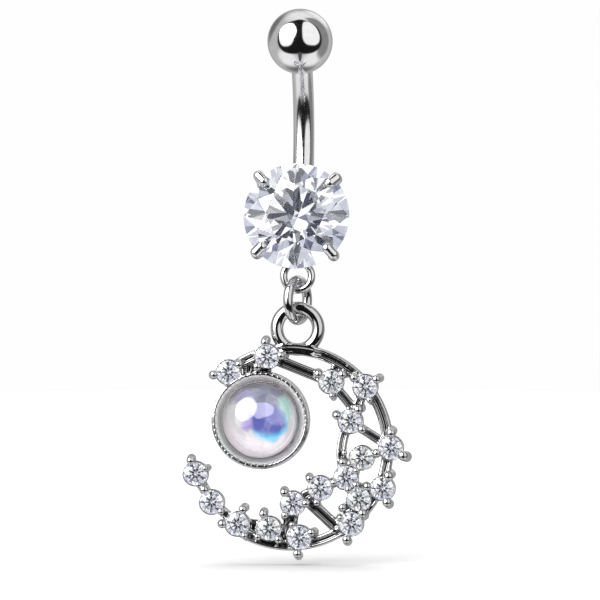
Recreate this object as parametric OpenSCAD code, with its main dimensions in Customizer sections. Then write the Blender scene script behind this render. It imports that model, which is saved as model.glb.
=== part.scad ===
/* [Barbell] */
// Thickness of the curved bar
bar_d = 1.6; // [1.2:0.1:1.8]
// Radius of the bend, along the middle of the bar
bend_r = 7.8; // [7:0.1:9]
// Degrees of bend from the middle of the bar up to the ball
bend_up = 42.5; // [36:0.5:46]
// Degrees of bend from the middle of the bar down to the setting
bend_down = 53.5; // [48:0.5:58]
// Diameter of the thread on the upper end of the bar
thread_d = 1.1; // [0.8:0.05:1.2]
// Length of that thread
thread_l = 1.9; // [1.2:0.1:2.2]

/* [Ball] */
// Diameter of the ball that screws on to the thread
ball_d = 5; // [4.6:0.1:6]

/* [Cut of the stones] */
// Width of a stone's table, as a share of the stone's diameter
table_share = 0.56; // [0.5:0.01:0.62]
// Height of a stone's crown, as a share of the stone's diameter
crown_share = 0.15; // [0.12:0.01:0.18]
// Thickness of a stone's edge, as a share of the stone's diameter
girdle_share = 0.025; // [0.02:0.005:0.04]
// Depth of a stone's pavilion, as a share of the stone's diameter
pavilion_share = 0.43; // [0.38:0.01:0.44]

/* [Main stone and its setting] */
// Diameter of the main stone
gem_d = 8.06; // [7.4:0.1:8.8]
// Degrees that the main stone looks up
gem_tilt = 8; // [0:1:14]
// Thickness of the four prongs
prong_d = 0.84; // [0.7:0.02:1]
// Bearing of the first prong, seen from the front
prong_start = 43.5; // [30:0.5:60]
// How far the prongs reach in over the stone's edge
prong_bite = 0.9; // [0.7:0.02:1]
// Radius of the base plate behind the stone
base_r = 1.7; // [1.5:0.1:2]
// Thickness of the base plate
base_t = 0.95; // [0.8:0.05:1.3]
// How far the base plate's front lies ahead of the stone's point
base_rise = 0.2; // [0:0.05:0.4]
// Thickness of the round rail that ties the prongs together
rail_d = 0.6; // [0.4:0.05:0.7]
// Depth of that rail behind the middle of the stone's edge
rail_depth = 1.6; // [1.3:0.05:1.9]

/* [Hanging rings] */
// Outer diameter of the ring under the setting
ring_d = 2.7; // [2.5:0.05:3]
// Thickness of that ring's wire
ring_wire = 0.57; // [0.5:0.01:0.6]
// Outer diameter of the loose link
link_d = 3.85; // [3.7:0.05:4.4]
// Thickness of the link's wire
link_wire = 0.81; // [0.7:0.01:0.85]
// Degrees that the link is turned from edge-on
link_turn = 24; // [0:1:30]
// Outer diameter of the pendant's loop
loop_d = 4.14; // [4:0.02:4.6]
// Thickness of the loop's wire
loop_wire = 0.97; // [0.85:0.01:1]

/* [Crescent] */
// Radius of the crescent's outer edge
crescent_r = 7.88; // [7.7:0.02:8.4]
// How deep the loop's wire sinks into the crescent's outer edge
loop_sink = 0.91; // [0.5:0.01:0.95]
// How far the crescent's middle lies left of the loop's middle
crescent_left = 0.56; // [0.3:0.01:0.9]
// How far the loop's plane lies in front of the crescent's middle plane
loop_front = 0.1; // [-0.1:0.05:0.3]
// Width of the rim and of the inner bands
band_w = 0.85; // [0.75:0.01:0.95]
// Thickness of the bands from back to front
band_t = 1.0; // [0.9:0.05:1.2]
// Width of the slimmer struts
strut_w = 0.72; // [0.6:0.02:0.85]
// Width of the groove along a band, as a share of the band's width
groove_share = 0.34; // [0.2:0.02:0.4]
// Depth of that groove
groove_depth = 0.25; // [0.1:0.05:0.35]

/* [Crescent stones] */
// Diameter of each small stone
bead_d = 1.78; // [1.6:0.02:1.8]
// Wall of the cup around each small stone
cup_wall = 0.07; // [0.05:0.01:0.1]
// Depth of a cup from the stone's edge to its back
cup_depth = 1.2; // [1.1:0.05:1.4]
// Radius of the round tip of a full-sized prong
tip_r = 0.34; // [0.28:0.01:0.36]
// Thickness of the post under that tip
post_d = 0.56; // [0.44:0.02:0.6]

/* [Bezel and cabochon] */
// Diameter of the domed cabochon
dome_d = 6.12; // [5.8:0.02:6.3]
// Radius of the ball that its dome is part of
dome_ball_r = 3.3; // [3.2:0.05:4]
// Height of the cabochon's straight side
dome_side = 0.45; // [0.3:0.05:0.6]
// Outer diameter of the bezel
bezel_d = 7.48; // [7.4:0.02:7.6]
// Width of the bezel's lip where it is widest open
lip_w = 0.16; // [0.12:0.01:0.2]
// Width of the step outside the lip
step_w = 0.14; // [0.1:0.01:0.18]
// Thickness of the bezel's floor
floor_t = 0.42; // [0.4:0.05:0.7]
// Height of the bezel's lip above the floor
lip_h = 1.25; // [1:0.05:1.4]

/* [Fits] */
// Clearance between a stone and the metal around it
stone_gap = 0.03; // [0.02:0.01:0.05]
// Gap between the hanging rings where they bear on each other
hang_gap = 0.05; // [0.03:0.01:0.08]
// Gap between the ball and the bar, and around the thread
ball_gap = 0.04; // [0.02:0.01:0.06]

/* [Hidden] */
$fn = 48;
metal = "silver";
clear = "aliceblue";

// The small stones: place on the crescent as a share of its radius and a bearing,
// then the prongs around the stone as bearing, share of a full-sized prong, and
// distance from the stone's middle as a share of the stone's radius.
// Columns: name, radius share, bearing, prongs
STONES = [
    ["a", 0.940,  129.6, [[190, 1, 1.2], [35, 1, 1.18], [265, 0.6, 1]]],
    ["b", 0.907,  104.2, [[96, 1, 1.22], [228, 1, 1.2], [2, 1, 1.25]]],
    ["c", 0.747,   58.0, [[147, 1, 1.2], [30, 1, 1.2], [277, 0.75, 1.2]]],
    ["d", 0.933,   38.8, [[140, 1, 1.18], [32, 1, 1.22], [291, 0.75, 1.22]]],
    ["e", 0.636,   23.3, [[156, 1, 1.2], [53, 1.1, 1.24], [326, 1, 1.28]]],
    ["f", 0.974,   -0.2, [[86, 1.1, 1.26], [202, 1, 1.22], [329, 1.2, 1.33]]],
    ["g", 0.700,   -8.3, [[164, 0.7, 1.48], [249, 0.75, 1.18]]],
    ["h", 0.613,  -28.5, [[99, 1, 1.31], [204, 0.85, 1.06], [326, 0.9, 1.14]]],
    ["i", 0.978,  -23.9, [[61, 1.1, 1.2], [172, 0.95, 1.26], [291, 1.1, 1.26]]],
    ["j", 0.834,  -37.0, [[135, 0.85, 1.21], [208, 0.87, 1.52], [287, 1.05, 1.28]]],
    ["k", 0.945,  -51.4, [[150, 0.7, 1.02], [257, 1.05, 1.36]]],
    ["l", 0.487,  -53.5, [[136, 0.95, 1.16], [260, 0.87, 1.28]]],
    ["m", 0.542,  -87.4, [[125, 1, 1.14], [0, 1, 1.2], [239, 0.9, 1.18]]],
    ["n", 0.877,  -84.1, [[118, 0.8, 1.23], [22, 0.95, 1.16], [265, 1, 1.38]]],
    ["o", 0.811, -104.5, [[109, 1, 1.32], [217, 0.85, 1.18], [313, 0.95, 1.26]]],
    ["p", 0.901, -124.6, [[67, 1, 1.35], [180, 1, 1.22], [303, 0.85, 1.2]]],
    ["q", 0.928, -145.1, [[118, 1, 1.22], [317, 0.8, 1.18]]],
    ["r", 0.953, -164.4, [[107, 1, 1.18], [27, 0.75, 0.98], [289, 0.75, 1]]],
];

// Where a strut meets the metal away from a stone, in the same measure
// Columns: name, radius share, bearing
KNOTS = [
    ["e_top", 0.722,   28.8],
    ["c_rim", 0.909,   60.0],
    ["fork",  0.570,  -70.2],
    ["heel",  0.930,  -59.2],
    ["foot",  0.930,  -91.8],
    ["web_rim", 0.945, 114.9],
    ["web_cup", 0.780, 120.5],
    ["b_cup", 0.720,  111.2],
    ["j_prong", 0.772, -50.1],
];

// The straight struts between stones and knots
// Columns: from, to, width as a share of strut_w, height as a share of band_t
STRUTS = [
    ["b", "c", 1.18, 1],
    ["c", "e_top", 1, 1],
    ["d", "e_top", 1, 1],
    ["e", "f", 1, 1],
    ["c", "c_rim", 1.1, 0.9],
    ["g", "h", 1.2, 0.8],
    ["h", "j", 1.2, 0.8],
    ["i", "j", 1.2, 0.8],
    ["j", "k", 1.2, 0.8],
    ["l", "h", 1.1, 0.8],
    ["l", "m", 1.3, 0.8],
    ["fork", "heel", 1.3, 1],
    ["m", "foot", 1.5, 0.6],
    ["o", "p", 1.5, 0.7],
    ["p", "q", 1.05, 1],
    ["q", "r", 1.1, 1],
    ["web_rim", "web_cup", 1.4, 0.6],
    ["b", "b_cup", 1.3, 0.7],
    ["j", "j_prong", 0.8, 0.6],
];

STONE_NODES = [for (s = STONES) str("small_stone_", s[0])];

// Barbell: the bar lies in the plane x = 0 and bows back, with the origin at its middle
bar_top = bend_r * [0, cos(bend_up) - 1, 0] + [0, 0, bend_r * sin(bend_up)];
bar_end = bend_r * [0, cos(bend_down) - 1, 0] - [0, 0, bend_r * sin(bend_down)];
top_dir = [0, -sin(bend_up), cos(bend_up)];

// Ball: a flat on it seats on the bar's shoulder
seat_flat_r = bar_d / 2 + 0.1;
ball_flat = sqrt(pow(ball_d / 2, 2) - pow(seat_flat_r, 2));
ball_at = bar_top + top_dir * (ball_flat + ball_gap);
bore_extra = 0.15;

// Main stone, from the middle of its edge
gem_r = gem_d / 2;
gem_table_r = gem_r * table_share;
gem_crown = gem_d * crown_share;
gem_edge = gem_d * girdle_share / 2;
gem_point = gem_d * pavilion_share + gem_edge;
gem_axis = [0, -cos(gem_tilt), sin(gem_tilt)];
gem_up = [0, sin(gem_tilt), cos(gem_tilt)];

// Setting: the base plate takes the bar's lower end in its back, above its middle
base_front = -gem_point + base_rise;
base_back = base_front - base_t;
weld_sink = 0.45;
weld_rise = 0.6;
gem_at = bar_end - gem_up * weld_rise - gem_axis * (base_back + weld_sink);
prong_r = prong_d / 2;
knuckle = 1.03;
knee_r = gem_r + prong_r * 0.3;
knee_z = -prong_r * 0.8;
foot_r = base_r - prong_r;
foot_z = (base_front + base_back) / 2;
hook_z = prong_r;
claw_r = gem_r - prong_bite + prong_r * knuckle;
claw_z = crown_z(claw_r) + prong_r * 0.55;
rail_r = foot_r + (knee_r - foot_r) * (-rail_depth - foot_z) / (knee_z - foot_z);

// Ring under the setting, soldered to the lowest point of the rail
solder_overlap = 0.39;
rail_low = gem_at - gem_up * rail_r - gem_axis * rail_depth;
ring_mid_r = (ring_d - ring_wire) / 2;
ring_at = rail_low - [0, 0, (rail_d + ring_wire) / 2 - solder_overlap + ring_mid_r];

// Link on the ring, and the pendant's loop on the link
link_mid_r = (link_d - link_wire) / 2;
link_drop = link_mid_r - (link_wire + ring_wire) / 2 - hang_gap;
link_at = ring_at - [0, 0, ring_mid_r + link_drop];
loop_mid_r = (loop_d - loop_wire) / 2;
loop_drop = loop_mid_r - (loop_wire + link_wire) / 2 - hang_gap;
loop_at = link_at - [0, 0, link_mid_r + loop_drop];

// Pendant, drawn facing up: x to the right, y up, z to the front, with z = 0 in the
// middle plane of its bands
pendant_at = loop_at + [0, loop_front, 0];
crescent_reach = crescent_r + loop_d / 2 - loop_sink;
crescent_at = [-crescent_left, -sqrt(pow(crescent_reach, 2) - pow(crescent_left, 2))];
band_back = -band_t / 2;
rim_mid_r = crescent_r - band_w / 2;
edge_share = 0.14;
wall_share = 0.04;
bead_r = bead_d / 2;
cup_r = bead_r + stone_gap + cup_wall;
bead_z = 0.62;
cup_back = bead_z - cup_depth;
drain_r = bead_r * 0.45;
post_shift = tip_r * 0.5;
foot_share = 1.3;
tip_z = bead_z + bead_d * crown_share + tip_r * 0.1;
post_z = cup_back + 0.1;
bow_share = 0.12;
spare = 1;

// Bezel
bezel_share = 0.388;
bezel_bearing = 137.6;
bezel_r = bezel_d / 2;
bezel_back = -0.72;
bezel_floor = bezel_back + floor_t;
dome_r = dome_d / 2;
lip_r = bezel_r - step_w - lip_w;
well_r = dome_r + stone_gap;
dome_z = bezel_floor + stone_gap;
dome_rise = sqrt(pow(dome_ball_r, 2) - pow(dome_r, 2));

function polar(r, a) = [r * cos(a), r * sin(a)];
function crown_z(r) = gem_edge + (gem_r - r) * gem_crown / (gem_r - gem_table_r);
function place(share, bearing) = crescent_at + polar(share * crescent_r, bearing);
function row(name, table) = table[search([name], table)[0]];
function is_stone(name) = len([for (s = STONES) if (s[0] == name) 1]) > 0;
function spot(name) = let (r = row(name, is_stone(name) ? STONES : KNOTS)) place(r[1], r[2]);
bezel_at = place(bezel_share, bezel_bearing);

// Turns a piece drawn facing up to face the front, and lifts its face by tilt
module facing(at, tilt = 0) {
    translate(at)
        rotate([90 - tilt, 0, 0])
            children();
}

// A round bar between two points
module rod(p, q, r) {
    v = q - p;
    l = norm(v);
    translate(p)
        rotate([0, acos(v[2] / l), atan2(v[1], v[0])])
            cylinder(r = r, h = l);
}

// A round brilliant of diameter d, its edge centred on z = 0 and its table up
module brilliant(d) {
    r = d / 2;
    edge = d * girdle_share / 2;
    top = edge + d * crown_share;
    point = -edge - d * pavilion_share;
    table_r = r * table_share;
    half = 22.5;
    star_r = (table_r * cos(half) + r) / 2;
    star_z = top - (star_r * cos(half) - table_r) / (r - table_r) * (top - edge);
    keel_r = r * 0.22;
    keel_z = point + keel_r * cos(half) / r * (-edge - point);
    function ring_of(n, rr, z, start) = [for (i = [0 : n - 1])
        [rr * cos(start + i * 360 / n), rr * sin(start + i * 360 / n), z]];
    points = concat(
        ring_of(8, table_r, top, 0),
        ring_of(8, star_r, star_z, half),
        ring_of(16, r, edge, 0),
        ring_of(16, r, -edge, 0),
        ring_of(8, keel_r, keel_z, half),
        [[0, 0, point]]
    );
    function t(i) = i % 8;
    function s(i) = 8 + (i + 8) % 8;
    function u(i) = 16 + (i + 16) % 16;
    function w(i) = 32 + (i + 16) % 16;
    function k(i) = 48 + (i + 8) % 8;
    culet = 56;
    faces = concat(
        [[for (i = [7 : -1 : 0]) t(i)]],
        [for (i = [0 : 7]) [t(i), t(i + 1), s(i)]],
        [for (i = [0 : 7]) [t(i), s(i), u(2 * i), s(i - 1)]],
        [for (i = [0 : 7]) [s(i), u(2 * i + 1), u(2 * i)]],
        [for (i = [0 : 7]) [s(i), u(2 * i + 2), u(2 * i + 1)]],
        [for (i = [0 : 15]) [u(i), u(i + 1), w(i + 1), w(i)]],
        [for (i = [0 : 7]) [k(i), w(2 * i), w(2 * i + 1)]],
        [for (i = [0 : 7]) [k(i), w(2 * i + 1), w(2 * i + 2)]],
        [for (i = [0 : 7]) [culet, k(i - 1), w(2 * i), k(i)]]
    );
    polyhedron(points, faces);
}

// The room that a brilliant of diameter d needs in the metal, with a hole of radius
// drain_r through to depth behind it, or no hole where depth is 0
module seat(d, hole_r = 0, depth = 0) {
    r = d / 2 + stone_gap;
    edge = d * girdle_share / 2 + stone_gap;
    top = edge + d * crown_share;
    point = -edge - d * pavilion_share;
    hole_z = point + hole_r / r * (-edge - point);
    hole = depth > 0 ? [[0, -depth], [hole_r, -depth], [hole_r, hole_z]] : [[0, point]];
    rotate_extrude()
        polygon(concat(hole, [[r, -edge], [r, edge], [r * table_share, top], [0, top]]));
}

// One prong of the main stone: it leans out to the stone's edge, rises past it and
// hooks over it
module claw() {
    path = [[foot_r, 0, foot_z], [knee_r, 0, knee_z], [knee_r, 0, hook_z], [claw_r, 0, claw_z]];
    for (i = [1 : 3]) {
        rod(path[i - 1], path[i], prong_r);
        translate(path[i])
            sphere(r = prong_r * knuckle);
    }
}

// The main stone's setting, drawn facing up around the stone
module setting() {
    difference() {
        union() {
            translate([0, 0, base_back])
                cylinder(r = base_r, h = base_t);
            translate([0, 0, -rail_depth])
                rotate_extrude()
                    translate([rail_r, 0])
                        circle(d = rail_d);
            for (i = [0 : 3])
                rotate(prong_start + 90 * i)
                    claw();
        }
        seat(gem_d);
    }
}

// Curved bar, thread, setting and hanging ring, soldered into one
module barbell() {
    color(metal) {
        translate([0, -bend_r, 0])
            rotate([90, 0, 90])
                rotate([0, 0, -bend_down])
                    rotate_extrude(angle = bend_down + bend_up)
                        translate([bend_r, 0])
                            circle(d = bar_d);
        rod(bar_top - top_dir * thread_d / 2, bar_top + top_dir * thread_l, thread_d / 2);
        facing(gem_at, gem_tilt)
            setting();
        facing(ring_at)
            rotate_extrude()
                translate([ring_mid_r, 0])
                    circle(d = ring_wire);
    }
}

// Ball with a flat and a bore for the thread
module ball() {
    color(metal)
        translate(ball_at)
            rotate([bend_up, 0, 0])
                difference() {
                    sphere(d = ball_d);
                    translate([0, 0, -ball_flat - ball_d])
                        cylinder(d = ball_d, h = ball_d);
                    translate([0, 0, -ball_flat - ball_gap])
                        cylinder(d = thread_d + 2 * ball_gap, h = thread_l + bore_extra);
                }
}

module main_stone() {
    color(clear)
        facing(gem_at, gem_tilt)
            brilliant(gem_d);
}

// Loose link between the setting's ring and the pendant's loop
module link() {
    color(metal)
        translate(link_at)
            rotate([90, 0, 90 - link_turn])
                rotate_extrude()
                    translate([link_mid_r, 0])
                        circle(d = link_wire);
}

// Cross-section of a band of width w and thickness t: two ridges with a flat groove
// between them
module band_profile(w, t) {
    half = w / 2;
    edge = w * edge_share;
    groove = w * groove_share / 2;
    brink = groove + w * wall_share;
    polygon([
        [-half, 0], [half, 0], [half, t - edge], [half - edge, t], [brink, t],
        [groove, t - groove_depth], [-groove, t - groove_depth], [-brink, t],
        [edge - half, t], [-half, t - edge]
    ]);
}

// A straight band between two points
module strut(p, q, w, t) {
    v = q - p;
    translate([p[0], p[1], band_back])
        rotate([90, 0, atan2(v[1], v[0]) + 90])
            linear_extrude(height = norm(v))
                band_profile(w, t);
}

// The crescent's rim, from the first stone clockwise to stone p
module rim() {
    first = row("p", STONES)[2];
    last = row("a", STONES)[2];
    translate([crescent_at[0], crescent_at[1], band_back])
        rotate([0, 0, first])
            rotate_extrude(angle = last - first)
                translate([rim_mid_r, 0])
                    band_profile(band_w, band_t);
}

// Inner band from stone e down to stone h, which bows to the left
module inner_bow() {
    p = spot("e");
    q = spot("h");
    v = q - p;
    chord = norm(v);
    sag = chord * bow_share;
    r = (pow(chord / 2, 2) + pow(sag, 2)) / (2 * sag);
    mid = (p + q) / 2;
    away = [-v[1], v[0]] / chord;
    centre = mid + away * (r - sag);
    from = atan2(q[1] - centre[1], q[0] - centre[0]);
    sweep = 2 * asin(chord / 2 / r);
    translate([centre[0], centre[1], band_back])
        rotate([0, 0, from - sweep])
            rotate_extrude(angle = sweep)
                translate([r, 0])
                    band_profile(strut_w, band_t);
}

module cup(at) {
    translate([at[0], at[1], cup_back])
        cylinder(r = cup_r, h = cup_depth);
}

// One prong of a small stone: a post, wider at its foot, that leans in to its round tip
module small_prong(at, bearing, size, reach) {
    foot = at + polar(bead_r * reach + post_shift, bearing);
    lean = atan2(post_shift, tip_z - post_z);
    l = norm([post_shift, tip_z - post_z]);
    post_r = post_d / 2 * size;
    translate([foot[0], foot[1], post_z])
        rotate([0, 0, bearing])
            rotate([0, -lean, 0])
                rotate_extrude()
                    intersection() {
                        square(l + spare);
                        union() {
                            polygon([[0, 0], [post_r * foot_share, 0], [post_r, l], [0, l]]);
                            translate([0, l])
                                circle(r = tip_r * size);
                        }
                    }
}

// Bezel cup for the cabochon, with a step outside its lip and a bevel inside it
module bezel() {
    top = floor_t + lip_h;
    step_z = top - 2 * step_w;
    rotate_extrude()
        polygon([
            [0, 0], [bezel_r, 0], [bezel_r, step_z], [bezel_r - step_w, step_z],
            [bezel_r - step_w, top], [lip_r, top], [well_r, floor_t + dome_side],
            [well_r, floor_t], [0, floor_t]
        ]);
}

// Loop, bands, cups and bezel, cast as one
module pendant() {
    color(metal)
        facing(pendant_at)
            difference() {
                union() {
                    translate([0, 0, loop_front])
                        rotate_extrude()
                            translate([loop_mid_r, 0])
                                circle(d = loop_wire);
                    rim();
                    inner_bow();
                    for (s = STRUTS)
                        strut(spot(s[0]), spot(s[1]), strut_w * s[2], band_t * s[3]);
                    translate([bezel_at[0], bezel_at[1], bezel_back])
                        bezel();
                    for (s = STONES) {
                        cup(spot(s[0]));
                        for (p = s[3])
                            small_prong(spot(s[0]), p[0], p[1], p[2]);
                    }
                }
                for (s = STONES)
                    translate([spot(s[0])[0], spot(s[0])[1], bead_z])
                        seat(bead_d, drain_r, cup_depth + spare);
            }
}

module cabochon() {
    color(clear)
        facing(pendant_at)
            translate([bezel_at[0], bezel_at[1], dome_z])
                intersection() {
                    cylinder(r = dome_r, h = dome_side + dome_ball_r);
                    translate([0, 0, dome_side - dome_rise])
                        sphere(r = dome_ball_r);
                }
}

module small_stone(name) {
    at = spot(name);
    color(clear)
        facing(pendant_at)
            translate([at[0], at[1], bead_z])
                brilliant(bead_d);
}

barbell();
ball();
main_stone();
link();
pendant();
cabochon();
for (s = STONES)
    small_stone(s[0]);
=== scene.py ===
"""Looks of the navel ring: polished castings, cut stones, a pearly cabochon, light and camera.

Everything is in metres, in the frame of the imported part: the middle of the curved bar is the
origin, the front is -Y and up is +Z. MM turns the millimetres written here into metres.
"""

import math

import bmesh
import bpy
from mathutils import Matrix, Vector


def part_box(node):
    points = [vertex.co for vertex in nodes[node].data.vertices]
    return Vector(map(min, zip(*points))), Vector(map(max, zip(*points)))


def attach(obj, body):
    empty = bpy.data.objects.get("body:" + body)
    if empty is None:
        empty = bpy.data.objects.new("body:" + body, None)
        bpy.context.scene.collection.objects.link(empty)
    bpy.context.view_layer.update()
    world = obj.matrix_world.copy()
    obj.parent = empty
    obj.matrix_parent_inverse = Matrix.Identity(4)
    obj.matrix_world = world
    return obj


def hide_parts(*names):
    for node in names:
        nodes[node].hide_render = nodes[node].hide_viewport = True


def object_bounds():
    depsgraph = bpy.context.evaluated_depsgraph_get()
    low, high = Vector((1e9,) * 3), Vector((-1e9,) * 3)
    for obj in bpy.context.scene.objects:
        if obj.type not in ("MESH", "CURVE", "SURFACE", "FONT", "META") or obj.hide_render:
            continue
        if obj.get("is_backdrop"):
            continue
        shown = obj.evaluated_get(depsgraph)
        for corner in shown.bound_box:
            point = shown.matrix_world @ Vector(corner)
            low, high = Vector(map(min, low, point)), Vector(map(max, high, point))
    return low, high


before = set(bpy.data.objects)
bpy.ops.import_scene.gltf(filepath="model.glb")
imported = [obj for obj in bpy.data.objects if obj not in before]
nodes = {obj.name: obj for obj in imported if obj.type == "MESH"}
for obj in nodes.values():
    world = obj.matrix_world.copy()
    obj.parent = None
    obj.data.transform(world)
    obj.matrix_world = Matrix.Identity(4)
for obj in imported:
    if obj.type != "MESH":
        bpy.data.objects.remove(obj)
cad_low, cad_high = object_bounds()

MM = 0.001
X_AXIS = Vector((1, 0, 0))
Y_AXIS = Vector((0, 1, 0))
Z_AXIS = Vector((0, 0, 1))

# Camera: the photograph's 600 pixels span VIEW_W millimetres around VIEW_MID
VIEW_AZIMUTH = math.radians(4.6)
VIEW_W = 45.7
VIEW_MID = (-0.297, -12.72)
VIEW_DEPTH = -5.9
CAMERA_AWAY = 1.0
SENSOR_W = 36
CLIP = (0.1, 5)
RIGHT = Vector((math.cos(VIEW_AZIMUTH), math.sin(VIEW_AZIMUTH), 0))
AHEAD = Vector((-math.sin(VIEW_AZIMUTH), math.cos(VIEW_AZIMUTH), 0))

# Proportions of a cut stone, as shares of its diameter (the keel of its radius)
TABLE_SHARE = 0.56
CROWN_SHARE = 0.15
GIRDLE_SHARE = 0.025
PAVILION_SHARE = 0.43
KEEL_SHARE = 0.22
MAIN_FACETS = 8

# How close in mm a point counts as on a cut, and two of a stone's points as one
CUT_NEAR = 1e-5
CUT_DOUBLED = 1e-4

# Stones: lean of the main stone and turn from one small stone to the next in degrees, sides of
# their round edges, and how strongly they bend light
GEM_TILT = 8
STONE_TURN = 17
MAIN_SIDES = 96
SMALL_SIDES = 64
STONE_IOR = 2.16
MAIN_TINT = (0.98, 0.985, 1.0)
BRIGHT_TINT = (0.97, 0.98, 1.0)
DUSKY_TINT = (0.84, 0.87, 0.76)
HAZE_SIZE = 2.0
STONES = sorted(n for n in nodes if n.startswith("small_stone_"))
DARK_STONES = ("small_stone_c", "small_stone_g", "small_stone_j", "small_stone_o")

# Metal: size of the fine wear in mm, its shares of tone and of roughness, the tone of worn spots,
# then how far apart in mm the walls of a gap with painted shade are, and how open such a gap is
# from dark to light
WEAR_SIZE = 0.35
WEAR_TONE = (0.35, 0.7)
WEAR_ROUGH = (0.3, 0.75)
WORN_SHARE = 0.93
RECESS = 0.5
RECESS_OPEN = (0.25, 0.85)

# Castings: voxel size in mm, smoothing steps and share of the faces that is kept; how far a step
# moves a point; how close in mm doubled points lie, and points to the wire they are moved onto
BARBELL_CAST = (0.055, 2, 1)
PENDANT_CAST = (0.045, 8, 0.24)
SMOOTH_FACTOR = 0.5
DOUBLED = 2e-4
TORUS_SLACK = 0.06

# Ball in mm: the flat on the bar's shoulder, the bore for the thread and the lean of its axis
BALL_FLAT = 2.332
BALL_FLAT_R = 0.9
BORE_R = 0.59
BORE_TOP = -0.322
BALL_LEAN = 42.5
BALL_STEPS = 64

# Link in mm: a little slimmer than its CAD node by LINK_SLIM, so that it doesn't graze the rings
# at the ends of its swing
LINK_WIRE = 0.81
LINK_SLIM = 0.03
LINK_TURN = 24
WIRE_STEPS = 40
ROUND_STEPS = 128
SHARP_DEGREES = 35

# Bar, ring under the setting and loop of the pendant in mm, whose wires are made exactly round;
# the ring's rise and the loop's drop are from the middle of the link, and the loop is left as it
# is within LOOP_FREE degrees of its lowest part
BEND_R = 7.8
BEND_UP = 42.5
BEND_DOWN = 53.5
BAR_R = 0.8
RING_RISE = 1.845
RING_R = 1.065
RING_WIRE = 0.57
LOOP_DROP = 2.165
LOOP_R = 1.585
LOOP_WIRE = 0.97
LOOP_FREE = 45

# Rim in front of the loop in mm: middle and radius of the rim, its bearings and steps, how deep
# it starts, and its section as distance across, depth at the ends and depth in the middle
RIM_MID = Vector((-0.56, 0, -23.93))
RIM_R = 7.455
CAP_TURNS = (72, 99)
CAP_STEPS = 54
CAP_EASE = 9
CAP_Y = -6.1
CAP_SECTION = (
    (-0.425, -0.2, -0.2),
    (-0.425, 0.12, 0.30),
    (-0.35, 0.2, 0.39),
    (-0.20, 0.2, 0.39),
    (-0.14, 0.0, 0.31),
    (0.14, 0.0, 0.31),
    (0.20, 0.2, 0.39),
    (0.35, 0.2, 0.39),
    (0.425, 0.12, 0.30),
    (0.425, -0.2, -0.2),
)

# Cabochon in mm: a clear dome in a cup of pearly foil, inside the solid of the CAD node
DOME_SIDE = 0.45
DOME_EDGE = 0.04
DOME_STEPS = 28
DOME_ROUND = 96
DOME_TINT = (0.98, 0.98, 1.0)
DOME_IOR = 1.85
FOIL_T = 0.06
FOIL_GAP = 0.02
WALL_T = 0.05
WALL_GAP = 0.01

# Foil: how far in mm its figure is bent and by waves of what size, its tones from low to high,
# greying and darkening towards the top as painted shade, and the heights in mm over which they
# change, then ovals of painted reflection of the coating's flash as place and half size in mm
# from its middle, softness and tone
FOIL_WARP = 0.7
WARP_SIZE = 0.9
FOIL_ROUGH = 0.5
FOIL_LOW = (0.95, 0.87, 0.91, 1.0)
FOIL_HIGH = (0.62, 0.61, 0.61, 1.0)
FOIL_SHADED_TOP = (0.14, 0.14, 0.145, 1.0)
LOW_TO_HIGH = (-2.0, 0.4)
HIGH_TO_TOP = (0.6, 1.8)
PAINTED_FLASH = (
    (0.25, 0.8, 1.2, 1.3, 0.5, (0.24, 0.25, 0.34)),
    (-0.9, 1.35, 0.7, 0.5, 0.8, (0.34, 0.32, 0.52)),
    (1.4, 0.75, 0.45, 0.75, 0.8, (0.38, 0.64, 0.56)),
    (0.5, -0.25, 0.95, 0.8, 0.4, (0.10, 0.60, 0.88)),
    (0.32, 0.02, 0.95, 0.8, 0.5, (0.10, 0.11, 0.44)),
    (-0.75, -0.2, 0.35, 0.3, 0.9, (0.36, 0.28, 0.62)),
    (0.12, 0.5, 0.6, 0.4, 0.2, (0.46, 0.45, 0.72)),
)

# Lip of the bezel in mm from the back of the cabochon: its section as radius, height and share
# of a dent, the face of the section that is satin, its dents around and their depth, and the
# waves of their spacing as height, number around and start
LIP_OUT = 3.6
LIP_IN = 3.43
LIP_TOP = 1.22
LIP_FOOT = 3.02
LIP_BED = 0.52
LIP_SECTION = (
    (LIP_OUT, LIP_TOP - 0.30, 0),
    (LIP_OUT, LIP_TOP - 0.03, 0.1),
    (LIP_OUT - 0.01, LIP_TOP - 0.01, 0.2),
    (LIP_OUT - 0.03, LIP_TOP, 0.3),
    (LIP_IN + 0.03, LIP_TOP, 1),
    (LIP_IN + 0.01, LIP_TOP - 0.01, 1),
    (LIP_IN, LIP_TOP - 0.04, 0.9),
    (LIP_FOOT, LIP_BED, 0),
    (LIP_FOOT + 0.05, LIP_BED, 0),
)
LIP_SLOPE = 6
LIP_STEPS = 720
LIP_DENTS = 48
LIP_DENT = 0.045
LIP_DRIFTS = ((1.7, 5, 0), (1.0, 11, 1))

# Floor: its drop below the part in mm, its lean, radius in metres and sides, its tones and the
# size of its speckle in mm
FLOOR_DROP = 0.3
FLOOR_LEAN = math.radians(6)
FLOOR_R = 0.12
FLOOR_SIDES = 96
FLOOR_TONES = (0.52, 0.54)
FLOOR_ROUGH = 0.9
SPECKLE_SIZE = 12

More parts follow.
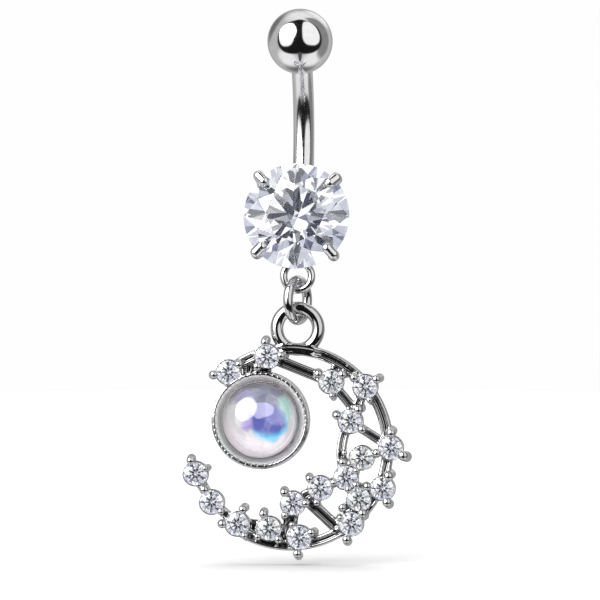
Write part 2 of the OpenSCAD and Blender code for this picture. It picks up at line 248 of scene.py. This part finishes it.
# What the metal mirrors: discs as bearing, height, radius and softness in degrees and level, then
# windows as bearings and heights in degrees, softness, squareness and level, and one lamp
ROOM_LEVEL = 0.6
ROOM_DISCS = (
    (180, 0, 32, 14, 0.45),
    (180, -60, 20, 14, 0.2),
    (150, 34, 16, 8, 1.1),
    (-140, 22, 18, 10, 0.2),
    (0, 100, 26, 16, 1.05),
    (-77, -54, 26, 14, 1.1),
    (77, -54, 26, 14, 1.1),
)
ROOM_WINDOWS = (
    ((70, 122), (-40, 76), 0.6, 4.0, 0.3),
    ((-88, 84), (-46, 83), 0.12, 2.8, 0.012),
    ((-10, 10), (-86, -40), 0.6, 4.0, 0.10),
    ((-80, -22), (-16, 62), 0.2, 2.6, 1.3),
    ((9, 76), (-13, 70), 0.2, 2.8, 1.2),
)
LAMP = (-51, 28, 29, 4)
LAMP_LEVEL = 7.5

# What shows through the stones: two tones in patches, then discs as bearing, height, radius and
# softness in degrees and tone
INNER_BRIGHT = (1.35, 1.35, 1.35, 1.0)
INNER_DUSK = (0.66, 0.68, 0.79, 1.0)
INNER_SCALE = 2.9
INNER_STEP = (0.50, 0.55)
INNER_DISCS = (
    (0, 2, 15, 3, (0.03, 0.035, 0.06)),
    (32, 26, 12, 2, (0.13, 0.15, 0.25)),
    (-36, 14, 11, 2, (0.25, 0.27, 0.38)),
    (-24, -42, 13, 2, (0.13, 0.15, 0.25)),
    (38, -28, 11, 2, (0.25, 0.27, 0.38)),
    (-58, 44, 13, 3, (0.18, 0.20, 0.30)),
    (6, 58, 11, 2, (0.22, 0.24, 0.36)),
    (66, 4, 12, 3, (0.14, 0.16, 0.26)),
    (-72, -20, 13, 3, (0.22, 0.24, 0.36)),
    (44, -66, 13, 3, (0.20, 0.22, 0.32)),
    (70, 52, 12, 3, (0.20, 0.22, 0.32)),
)

# Levels of the light on dull surfaces, of the light that reaches them through glass, and of the
# backdrop; then the suns' strength, spread and lean in degrees
DULL_LEVEL = 0.85
GLASS_LEVEL = 2.7
BACKDROP_LEVEL = 0.99
KEY_SUN = (3.2, 60, -6)
FILL_SUN = (3.0, 10, 90)

# How often light bounces at most: in all, off metal and through stones
BOUNCES = 24
METAL_BOUNCES = 12
STONE_BOUNCES = 20


class Tree:
    """Builds a node tree: each call adds one node and gives back its output socket."""

    def __init__(self, tree):
        self.tree = tree
        tree.nodes.clear()

    def add(self, kind, inputs=(), out=0, **settings):
        node = self.tree.nodes.new(kind)
        for key, value in settings.items():
            setattr(node, key, value)
        named = inputs.items() if isinstance(inputs, dict) else enumerate(inputs)
        for key, value in named:
            if isinstance(value, bpy.types.NodeSocket):
                self.tree.links.new(value, node.inputs[key])
            else:
                node.inputs[key].default_value = value
        return node.outputs[out] if node.outputs else node

    def math(self, operation, *values):
        return self.add("ShaderNodeMath", values, operation=operation)

    def dot(self, vector, axis):
        return self.add(
            "ShaderNodeVectorMath", [vector, tuple(axis)], out="Value", operation="DOT_PRODUCT"
        )

    def step(self, value, low, high, to_low=0.0, to_high=1.0):
        """A smooth step from to_low at low to to_high at high."""
        return self.add(
            "ShaderNodeMapRange",
            {
                "Value": value,
                "From Min": low,
                "From Max": high,
                "To Min": to_low,
                "To Max": to_high,
            },
            interpolation_type="SMOOTHSTEP",
        )

    def mix(self, share, a, b):
        """A colour between a and b."""
        return self.add(
            "ShaderNodeMix",
            {0: share, 6: a, 7: b},
            out=2,
            data_type="RGBA",
            clamp_factor=True,
        )

    def noise(self, scale, detail, vector=None, out="Fac"):
        where = vector or self.add("ShaderNodeTexCoord", out="Object")
        return self.add(
            "ShaderNodeTexNoise", {"Vector": where, "Scale": scale, "Detail": detail}, out=out
        )


def grey(level):
    return (level, level, level, 1.0)


def new_material(name):
    material = bpy.data.materials.new(name)
    material.use_nodes = True
    return material, Tree(material.node_tree)


def metal(name, tone, rough, wave, wave_size, pit, metallic=1.0, recess=1.0):
    """Polished metal with a faint cast wave and fine wear.

    rough is its roughness from least to most. wave and pit are the depths in mm of the wave and
    of the wear, and wave_size is the wave's length. recess is the share of the tone that is left
    in the narrow gaps of a casting, as painted shade.
    """
    material, t = new_material(name)
    wear = t.noise(1 / (WEAR_SIZE * MM), detail=4)
    low_wave = t.noise(1 / (wave_size * MM), detail=1)
    height = t.math("MULTIPLY_ADD", wear, pit, t.math("MULTIPLY", low_wave, wave))
    bump = t.add("ShaderNodeBump", {"Strength": 1.0, "Distance": MM, "Height": height})
    dark = tuple(WORN_SHARE * c for c in tone) + (1.0,)
    colour = t.mix(t.step(wear, *WEAR_TONE), dark, tone + (1.0,))
    # Painted shade: the tone darkens where the casting's own walls close in
    if recess < 1:
        open_share = t.add(
            "ShaderNodeAmbientOcclusion",
            {"Distance": RECESS * MM},
            out="AO",
            samples=4,
            only_local=True,
        )
        painted_shade = tuple(recess * c for c in tone) + (1.0,)
        colour = t.mix(t.step(open_share, *RECESS_OPEN), painted_shade, colour)
    shader = t.add(
        "ShaderNodeBsdfPrincipled",
        {
            "Base Color": colour,
            "Metallic": metallic,
            "Roughness": t.step(wear, *WEAR_ROUGH, *rough),
            "Normal": bump,
        },
    )
    t.add("ShaderNodeOutputMaterial", [shader])
    return material


def crystal(name, tint, ior):
    """Clear cut stone."""
    material, t = new_material(name)
    haze = t.noise(1 / (HAZE_SIZE * MM), detail=1)
    shader = t.add(
        "ShaderNodeBsdfPrincipled",
        {
            "Base Color": t.mix(haze, tint + (1.0,), grey(1.0)),
            "Roughness": 0.0,
            "IOR": ior,
            "Transmission Weight": 1.0,
        },
    )
    t.add("ShaderNodeOutputMaterial", [shader])
    return material


def wear_material(obj, material):
    """obj shows that material alone."""
    obj.data.materials.clear()
    obj.data.materials.append(material)


def mesh_from(bm, name):
    """The mesh that is built in bm, which is then gone."""
    mesh = bpy.data.meshes.new(name)
    bm.to_mesh(mesh)
    bm.free()
    return mesh


def in_scene(name, data):
    obj = bpy.data.objects.new(name, data)
    bpy.context.scene.collection.objects.link(obj)
    return obj


def new_piece(name, mesh, body):
    piece = in_scene(name, mesh)
    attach(piece, body)
    return piece


def copy_of(name, node):
    """A mesh in millimetres of that CAD node, its doubled points merged."""
    bm = bmesh.new()
    bm.from_mesh(nodes[node].data)
    bmesh.ops.scale(bm, vec=(1 / MM,) * 3, verts=bm.verts)
    bmesh.ops.remove_doubles(bm, verts=bm.verts, dist=DOUBLED)
    return mesh_from(bm, name)


def skin(bm, row, after):
    """Faces between two closed rows of points."""
    faces = []
    for j in range(len(row)):
        k = (j + 1) % len(row)
        faces.append(bm.faces.new((row[j], row[k], after[k], after[j])))
    return faces


def with_rim_cap(mesh):
    """Adds the stretch of the rim that passes in front of the loop's lowest part."""
    bm = bmesh.new()
    bm.from_mesh(mesh)
    rows = []
    for i in range(CAP_STEPS + 1):
        turn = math.radians(CAP_TURNS[0] + (CAP_TURNS[1] - CAP_TURNS[0]) * i / CAP_STEPS)
        out = Vector((math.cos(turn), 0, math.sin(turn)))
        share = min(1, min(i, CAP_STEPS - i) / CAP_EASE)
        share = share * share * (3 - 2 * share)
        row = []
        for across, low, high in CAP_SECTION:
            spot = RIM_MID + out * (RIM_R + across)
            spot.y = CAP_Y - low - (high - low) * share
            row.append(bm.verts.new(spot))
        rows.append(row)
    new_faces = [bm.faces.new(rows[0]), bm.faces.new(rows[-1])]
    for row, after in zip(rows, rows[1:]):
        new_faces += skin(bm, row, after)
    bmesh.ops.recalc_face_normals(bm, faces=new_faces)
    bm.to_mesh(mesh)
    bm.free()
    return mesh


def on_torus(mesh, centre, axis, reach, wire, low=-180, high=180):
    """Puts the points near a round wire on it exactly: the wire runs around axis through centre.

    Points outside the bearings from low to high stay where they are.
    """
    flat = Y_AXIS if abs(axis.y) < 0.5 else X_AXIS
    across = axis.cross(flat)
    for vertex in mesh.vertices:
        away = vertex.co - centre
        rise = away.dot(axis)
        out = away - axis * rise
        turn = math.degrees(math.atan2(out.dot(across), out.dot(flat)))
        span = out.length
        depth = math.hypot(span - reach, rise)
        if low < turn < high and abs(depth - wire) < TORUS_SLACK:
            middle = centre + out * (reach / span)
            vertex.co = middle + (vertex.co - middle) * (wire / depth)


def cast(name, mesh, recipe, tori, body, *replaced):
    """One casting with soft fillets from a mesh in millimetres: voxels, smoothing, fewer faces."""
    voxel, smooth_steps, keep = recipe
    work = in_scene(name + "_work", mesh)
    remesh = work.modifiers.new("voxels", "REMESH")
    remesh.mode = "VOXEL"
    remesh.voxel_size = voxel
    smooth = work.modifiers.new("fillets", "SMOOTH")
    smooth.factor = SMOOTH_FACTOR
    smooth.iterations = smooth_steps
    if keep < 1:
        fewer = work.modifiers.new("fewer", "DECIMATE")
        fewer.ratio = keep
    graph = bpy.context.evaluated_depsgraph_get()
    made = bpy.data.meshes.new_from_object(work.evaluated_get(graph))
    bpy.data.objects.remove(work)
    for torus in tori:
        on_torus(made, *torus)
    made.transform(Matrix.Scale(MM, 4))
    made.name = name
    made.shade_smooth()
    piece = new_piece(name, made, body)
    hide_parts(*replaced)
    return piece


def lathe(name, profile, segments, place, body, closed=False):
    """A round piece from a profile of (radius, height) in mm around local Z, then put in place."""
    bm = bmesh.new()
    rings = []
    for radius, height in profile:
        turns = [2 * math.pi * i / segments for i in range(segments if radius else 1)]
        rings.append(
            [bm.verts.new((radius * math.cos(a), radius * math.sin(a), height)) for a in turns]
        )
    for low, high in zip(rings, rings[1:] + (rings[:1] if closed else [])):
        for i in range(segments):
            j = (i + 1) % segments
            if len(low) == 1:
                bm.faces.new((low[0], high[j], high[i]))
            elif len(high) == 1:
                bm.faces.new((low[i], low[j], high[0]))
            else:
                bm.faces.new((low[i], low[j], high[j], high[i]))
    bmesh.ops.recalc_face_normals(bm, faces=bm.faces)
    mesh = mesh_from(bm, name)
    mesh.transform(place @ Matrix.Scale(MM, 4))
    mesh.shade_smooth()
    mesh.set_sharp_from_angle(angle=math.radians(SHARP_DEGREES))
    return new_piece(name, mesh, body)


def facing(centre, tilt=0.0):
    """Where a piece drawn around Z goes to face the front, lifted by tilt degrees."""
    return Matrix.Translation(centre) @ Matrix.Rotation(math.radians(90 - tilt), 4, "X")


def cut_stone(name, diameter, sides, place, twist, body):
    """A round brilliant with flat facets and a round edge, the edge centred on local Z = 0."""
    r = diameter / 2
    edge = diameter * GIRDLE_SHARE / 2
    top = edge + diameter * CROWN_SHARE
    point = -edge - diameter * PAVILION_SHARE
    table_r = r * TABLE_SHARE
    half = math.pi / MAIN_FACETS
    star_r = (table_r * math.cos(half) + r) / 2
    star_z = top - (star_r * math.cos(half) - table_r) / (r - table_r) * (top - edge)
    keel_r = r * KEEL_SHARE
    keel_z = point + keel_r * math.cos(half) / r * (-edge - point)

    def at(radius, angle, z):
        return Vector((radius * math.cos(angle), radius * math.sin(angle), z))

    planes = []
    for i in range(MAIN_FACETS):
        main = 2 * half * i
        upper, lower = at(r, main, edge), at(r, main, -edge)
        star, star_before = at(star_r, main + half, star_z), at(star_r, main - half, star_z)
        table, table_after = at(table_r, main, top), at(table_r, main + 2 * half, top)
        planes.append((upper, star, star_before))
        planes.append((table, table_after, star))
        planes.append((lower, at(keel_r, main + half, keel_z), at(0, 0, point)))
        for turn in (main + half, main - half):
            planes.append((upper, at(r, turn, edge), at(star_r, turn, star_z)))
            planes.append((lower, at(r, turn, -edge), at(keel_r, turn, keel_z)))
    bm = bmesh.new()
    bmesh.ops.create_cone(
        bm,
        cap_ends=True,
        segments=sides,
        radius1=r,
        radius2=r,
        depth=top - point,
        matrix=Matrix.Translation((0, 0, (top + point) / 2)),
    )
    for a, b, c in planes:
        normal = (b - a).cross(c - a).normalized()
        if normal.dot(a) < 0:
            normal.negate()
        bmesh.ops.bisect_plane(
            bm,
            geom=bm.verts[:] + bm.edges[:] + bm.faces[:],
            dist=CUT_NEAR,
            plane_co=a,
            plane_no=normal,
            clear_outer=True,
        )
        bmesh.ops.holes_fill(bm, edges=[e for e in bm.edges if e.is_boundary], sides=0)
    bmesh.ops.remove_doubles(bm, verts=bm.verts, dist=CUT_DOUBLED)
    bmesh.ops.recalc_face_normals(bm, faces=bm.faces)
    mesh = mesh_from(bm, name)
    mesh.transform(place @ Matrix.Rotation(math.radians(twist), 4, "Z") @ Matrix.Scale(MM, 4))
    return new_piece(name, mesh, body)


# Metals
steel = metal(
    "polished_steel",
    tone=(0.77, 0.77, 0.78),
    rough=(0.07, 0.10),
    wave=0.0,
    wave_size=2.0,
    pit=0.0002,
)
soft_steel = metal(
    "soft_steel",
    tone=(0.70, 0.70, 0.71),
    rough=(0.14, 0.18),
    wave=0.0,
    wave_size=2.0,
    pit=0.0002,
)
# The pendant's casting gets painted shade in its narrow gaps through recess
plated = metal(
    "plated_casting",
    tone=(0.57, 0.57, 0.575),
    rough=(0.07, 0.12),
    wave=0.004,
    wave_size=0.7,
    pit=0.0003,
    recess=0.25,
)
wire = metal(
    "plated_wire",
    tone=(0.60, 0.60, 0.605),
    rough=(0.08, 0.12),
    wave=0.002,
    wave_size=0.9,
    pit=0.0003,
)
satin = metal(
    "satin_bevel",
    tone=(0.76, 0.76, 0.755),
    rough=(0.3, 0.4),
    wave=0.002,
    wave_size=0.7,
    pit=0.0003,
    metallic=0.2,
)

# Castings
link_low, link_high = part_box("link")
link_mid = (link_low + link_high) / 2 / MM
bar = (Vector((0, -BEND_R, 0)), X_AXIS, BEND_R, BAR_R, -BEND_DOWN, BEND_UP)
under_ring = (link_mid + Z_AXIS * RING_RISE, Y_AXIS, RING_R, RING_WIRE / 2)
barbell = cast(
    "barbell_metal",
    copy_of("barbell_mesh", "barbell"),
    BARBELL_CAST,
    (bar, under_ring),
    "barbell",
    "barbell",
)
wear_material(barbell, soft_steel)

loop = (link_mid - Z_AXIS * LOOP_DROP, Y_AXIS, LOOP_R, LOOP_WIRE / 2)
pendant = cast(
    "pendant_metal",
    with_rim_cap(copy_of("pendant_mesh", "pendant")),
    PENDANT_CAST,
    (loop + (-180, LOOP_FREE), loop + (180 - LOOP_FREE, 180)),
    "pendant",
    "pendant",
)
wear_material(pendant, plated)

# Ball: its profile runs from the bore, over the flat, around to the top
ball_low, ball_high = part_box("ball")
ball_r = (ball_high.x - ball_low.x) / 2 / MM
ball_mid = Vector(
    ((ball_low.x + ball_high.x) / 2, ball_low.y + ball_r * MM, ball_high.z - ball_r * MM)
)
sweep = math.pi - math.asin(BALL_FLAT_R / ball_r)
arc = [sweep - sweep * i / BALL_STEPS for i in range(BALL_STEPS)]
profile = [(0, BORE_TOP), (BORE_R, BORE_TOP), (BORE_R, -BALL_FLAT)]
profile += [(ball_r * math.sin(a), ball_r * math.cos(a)) for a in arc] + [(0, ball_r)]
place = Matrix.Translation(ball_mid) @ Matrix.Rotation(math.radians(BALL_LEAN), 4, "X")
ball = lathe("ball_metal", profile, ROUND_STEPS, place, "ball")
wear_material(ball, steel)
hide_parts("ball")

# Link
link_r = (link_high.z - link_low.z) / 2 / MM - LINK_WIRE / 2
wire_r = LINK_WIRE / 2 - LINK_SLIM
ring = [2 * math.pi * i / WIRE_STEPS for i in range(WIRE_STEPS)]
profile = [(link_r + wire_r * math.cos(a), wire_r * math.sin(a)) for a in ring]
place = Matrix.Translation(link_mid * MM) @ Matrix.Rotation(math.radians(90 - LINK_TURN), 4, "Z")
place = place @ Matrix.Rotation(math.pi / 2, 4, "X")
link = lathe("link_metal", profile, ROUND_STEPS, place, "link", closed=True)
wear_material(link, wire)
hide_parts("link")

# Stones: the edge of a stone lies half its thickness and its crown behind its table
EDGE_SHARE = CROWN_SHARE + GIRDLE_SHARE / 2
corners = [nodes["main_stone"].matrix_world @ v.co for v in nodes["main_stone"].data.vertices]
gem_lean = math.radians(GEM_TILT)
gem_axis = Vector((0, -math.cos(gem_lean), math.sin(gem_lean)))
gem_up = Vector((0, math.sin(gem_lean), math.cos(gem_lean)))
depths = [v.dot(gem_axis) for v in corners]
heights = [v.dot(gem_up) for v in corners]
gem_d = (max(v.x for v in corners) - min(v.x for v in corners)) / MM
gem_mid = gem_axis * (max(depths) - gem_d * EDGE_SHARE * MM)
gem_mid += gem_up * (max(heights) + min(heights)) / 2
main_stone = cut_stone(
    "main_stone_cut", gem_d, MAIN_SIDES, facing(gem_mid, GEM_TILT), 0, "barbell"
)
wear_material(main_stone, crystal("main_crystal", MAIN_TINT, STONE_IOR))
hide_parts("main_stone")

bright = crystal("small_crystal", BRIGHT_TINT, STONE_IOR)
dusky = crystal("small_crystal_dusky", DUSKY_TINT, STONE_IOR)
for count, name in enumerate(STONES):
    low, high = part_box(name)
    size = (high.x - low.x) / MM
    middle = (low + high) / 2
    middle.y = low.y + size * EDGE_SHARE * MM
    stone = cut_stone(
        name + "_cut", size, SMALL_SIDES, facing(middle), STONE_TURN * count, "pendant"
    )
    wear_material(stone, dusky if name in DARK_STONES else bright)
    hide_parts(name)

# Cabochon
dome_low, dome_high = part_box("cabochon")
dome_mid = (dome_low + dome_high) / 2
dome_back = Vector((dome_mid.x, dome_high.y, dome_mid.z))
dome_r = (dome_high.x - dome_low.x) / 2 / MM
dome_h = (dome_high.y - dome_low.y) / MM


def dome_profile(base):
    """Flat back at height base, straight side, then part of a ball up to dome_h."""
    rise = dome_h - DOME_SIDE
    curve_r = (dome_r**2 + rise**2) / (2 * rise)
    glass_r = dome_r - WALL_T
    spread = math.asin(glass_r / curve_r)
    top = []
    for i in range(DOME_STEPS):
        turn = spread * (1 - i / DOME_STEPS)
        top.append((curve_r * math.sin(turn), dome_h - curve_r + curve_r * math.cos(turn)))
    foot = [(0, base), (glass_r - DOME_EDGE, base), (glass_r, base + DOME_EDGE)]
    return foot + top + [(0, dome_h)]


def foil_material():
    """Pearly foil: pinkish white, grey above as painted shade, with a lilac, indigo, cyan and
    green flash painted in as reflections.
    """
    material, t = new_material("pearly_foil")
    where = t.add("ShaderNodeTexCoord", out="Object")
    warp = t.noise(1 / (WARP_SIZE * MM), detail=2, out="Color")
    bent = t.add("ShaderNodeVectorMath", [warp, (FOIL_WARP * MM,) * 3], operation="MULTIPLY")
    spot = t.add("ShaderNodeVectorMath", [where, bent], operation="ADD")
    middle = dome_mid + Vector((FOIL_WARP * MM / 2,) * 3)
    away = t.add("ShaderNodeVectorMath", [spot, tuple(middle)], operation="SUBTRACT")
    across = t.math("DIVIDE", t.dot(away, X_AXIS), MM)
    rise = t.math("DIVIDE", t.dot(away, Z_AXIS), MM)

    def oval(x, z, wide, tall, soft):
        """1 inside an oval of the foil, placed in mm from its middle, and 0 outside it."""
        u = t.math("DIVIDE", t.math("SUBTRACT", across, x), wide)
        v = t.math("DIVIDE", t.math("SUBTRACT", rise, z), tall)
        square = t.math("ADD", t.math("MULTIPLY", u, u), t.math("MULTIPLY", v, v))
        return t.step(square, 1 + soft, 1 - soft)

    # Painted shade: pinkish white low down, greying to dark at the top
    colour = t.mix(t.step(rise, *LOW_TO_HIGH), FOIL_LOW, FOIL_HIGH)
    colour = t.mix(t.step(rise, *HIGH_TO_TOP), colour, FOIL_SHADED_TOP)
    # Painted reflections: the coating's lilac, indigo, cyan and green flash, fixed in place
    for x, z, wide, tall, soft, tone in PAINTED_FLASH:
        colour = t.mix(oval(x, z, wide, tall, soft), colour, tone + (1.0,))
    shader = t.add("ShaderNodeBsdfPrincipled", {"Base Color": colour, "Roughness": FOIL_ROUGH})
    t.add("ShaderNodeOutputMaterial", [shader])
    return material


dome = lathe(
    "cabochon_dome", dome_profile(FOIL_T + FOIL_GAP), DOME_ROUND, facing(dome_back), "pendant"
)
wear_material(dome, crystal("dome_glass", DOME_TINT, DOME_IOR))
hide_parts("cabochon")

wall_in = dome_r - WALL_T + WALL_GAP
profile = [(0, 0), (dome_r, 0), (dome_r, DOME_SIDE), (wall_in, DOME_SIDE), (wall_in, FOIL_T)]
profile.append((0, FOIL_T))
foil = lathe("cabochon_foil", profile, DOME_ROUND, facing(dome_back), "pendant")
wear_material(foil, foil_material())


def dent_at(turn):
    """Depth in mm of the lip's dents at a bearing; their spacing drifts, as if made by hand."""
    drift = sum(tall * math.sin(count * turn + start) for tall, count, start in LIP_DRIFTS)
    return LIP_DENT * max(0, math.sin(LIP_DENTS * turn + drift)) ** 2


# Lip of the bezel: it rolls over in small dents, and its inner slope is satin
bm = bmesh.new()
rows = []
for i in range(LIP_STEPS):
    turn = 2 * math.pi * i / LIP_STEPS
    dent = dent_at(turn)
    rows.append(
        [
            bm.verts.new((r * math.cos(turn), r * math.sin(turn), z - dent * share))
            for r, z, share in LIP_SECTION
        ]
    )
for row, after in zip(rows, rows[1:] + rows[:1]):
    skin(bm, row, after)[LIP_SLOPE].material_index = 1
bmesh.ops.recalc_face_normals(bm, faces=bm.faces)
mesh = mesh_from(bm, "bezel_lip")
mesh.transform(facing(dome_back) @ Matrix.Scale(MM, 4))
mesh.shade_smooth()
lip = new_piece("bezel_lip", mesh, "pendant")
for material in (plated, satin):
    lip.data.materials.append(material)

# Floor: it leans up towards the back, so that the shadow under the lowest prong shows
bm = bmesh.new()
bmesh.ops.create_circle(bm, cap_ends=True, segments=FLOOR_SIDES, radius=FLOOR_R)
floor = in_scene("floor", mesh_from(bm, "floor"))
floor.location = (0, VIEW_DEPTH * MM, cad_low.z - FLOOR_DROP * MM)
floor.rotation_euler = (FLOOR_LEAN, 0, VIEW_AZIMUTH)
floor_look, t = new_material("pale_floor")
speckle = t.noise(1 / (SPECKLE_SIZE * MM), detail=3)
tone = t.mix(speckle, *map(grey, FLOOR_TONES))
shader = t.add("ShaderNodeBsdfPrincipled", {"Base Color": tone, "Roughness": FLOOR_ROUGH})
t.add("ShaderNodeOutputMaterial", [shader])
wear_material(floor, floor_look)
floor.visible_glossy = False
floor.visible_transmission = False
floor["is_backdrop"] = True

# Light: a grey room with a dark front, two soft windows and one lamp
world = bpy.data.worlds.new("studio")
bpy.context.scene.world = world
world.use_nodes = True
t = Tree(world.node_tree)
ray = t.add("ShaderNodeTexCoord", out="Generated")
side = t.dot(ray, RIGHT)
ahead = t.dot(ray, AHEAD)
up = t.dot(ray, Z_AXIS)
bearing = t.math("ARCTAN2", side, t.math("MULTIPLY", ahead, -1.0))
height = t.math("ARCSINE", up)


def disc(bearing_deg, height_deg, radius_deg, soft_deg):
    """1 inside a round patch of the sky, in the camera's bearings, and 0 outside it."""
    b, h = math.radians(bearing_deg), math.radians(height_deg)
    axis = RIGHT * math.sin(b) * math.cos(h) - AHEAD * math.cos(b) * math.cos(h)
    axis += Z_AXIS * math.sin(h)
    return t.step(
        t.dot(ray, axis),
        math.cos(math.radians(radius_deg + soft_deg)),
        math.cos(math.radians(radius_deg - soft_deg)),
    )


def window(bearings, heights, soft, power):
    """1 inside a patch with rounded corners between two bearings and two heights."""
    sides = []
    for value, (low, high) in ((bearing, bearings), (height, heights)):
        middle, half = math.radians(low + high) / 2, math.radians(high - low) / 2
        share = t.math("DIVIDE", t.math("SUBTRACT", value, middle), half)
        sides.append(t.math("POWER", t.math("ABSOLUTE", share), power))
    return t.step(t.math("ADD", *sides), 1 + soft, 1 - soft)


def light_path(output):
    return t.add("ShaderNodeLightPath", out=output)


sky = grey(ROOM_LEVEL)
for b, h, size, soft, level in ROOM_DISCS:
    sky = t.mix(disc(b, h, size, soft), sky, grey(level))
for bearings, heights, soft, power, level in ROOM_WINDOWS:
    sky = t.mix(window(bearings, heights, soft, power), sky, grey(level))
sky = t.mix(disc(*LAMP), sky, grey(LAMP_LEVEL))
sky = t.mix(light_path("Is Diffuse Ray"), sky, grey(DULL_LEVEL))

facets = t.step(t.noise(INNER_SCALE, detail=1, vector=ray), *INNER_STEP)
inner = t.mix(facets, INNER_BRIGHT, INNER_DUSK)
for b, h, size, soft, tone in INNER_DISCS:
    inner = t.mix(disc(b, h, size, soft), inner, tone + (1.0,))
inner = t.mix(t.step(light_path("Diffuse Depth"), 0.0, 1.0), inner, grey(GLASS_LEVEL))
sky = t.mix(t.step(light_path("Transmission Depth"), 0.0, 1.0), sky, inner)
sky = t.mix(light_path("Is Camera Ray"), sky, grey(BACKDROP_LEVEL))
t.add("ShaderNodeOutputWorld", [t.add("ShaderNodeBackground", [sky, 1.0])])


def sun(name, strength, spread, lean):
    """A sun that isn't mirrored; it shines straight down at lean 0 and ahead at lean 90."""
    light = bpy.data.lights.new(name, "SUN")
    light.energy = strength
    light.angle = math.radians(spread)
    lamp = in_scene(name, light)
    lamp.rotation_euler = (math.radians(lean), 0, VIEW_AZIMUTH)
    lamp.visible_glossy = False
    lamp.visible_transmission = False


# The fill comes from the camera's side, so that its shadows stay hidden, and lifts what is dull
sun("key", *KEY_SUN)
sun("fill", *FILL_SUN)

camera = in_scene("camera", bpy.data.cameras.new("camera"))
camera.data.sensor_width = SENSOR_W
camera.data.lens = SENSOR_W * CAMERA_AWAY / (VIEW_W * MM)
aim = RIGHT * (VIEW_MID[0] * MM) + AHEAD * (VIEW_DEPTH * MM) + Z_AXIS * (VIEW_MID[1] * MM)
camera.location = aim - AHEAD * CAMERA_AWAY
camera.rotation_euler = (math.pi / 2, 0, VIEW_AZIMUTH)
camera.data.clip_start, camera.data.clip_end = CLIP
bpy.context.scene.camera = camera

scene = bpy.context.scene
scene.view_settings.view_transform = "Standard"
scene.cycles.max_bounces = BOUNCES
scene.cycles.glossy_bounces = METAL_BOUNCES
scene.cycles.transmission_bounces = STONE_BOUNCES

low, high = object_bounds()
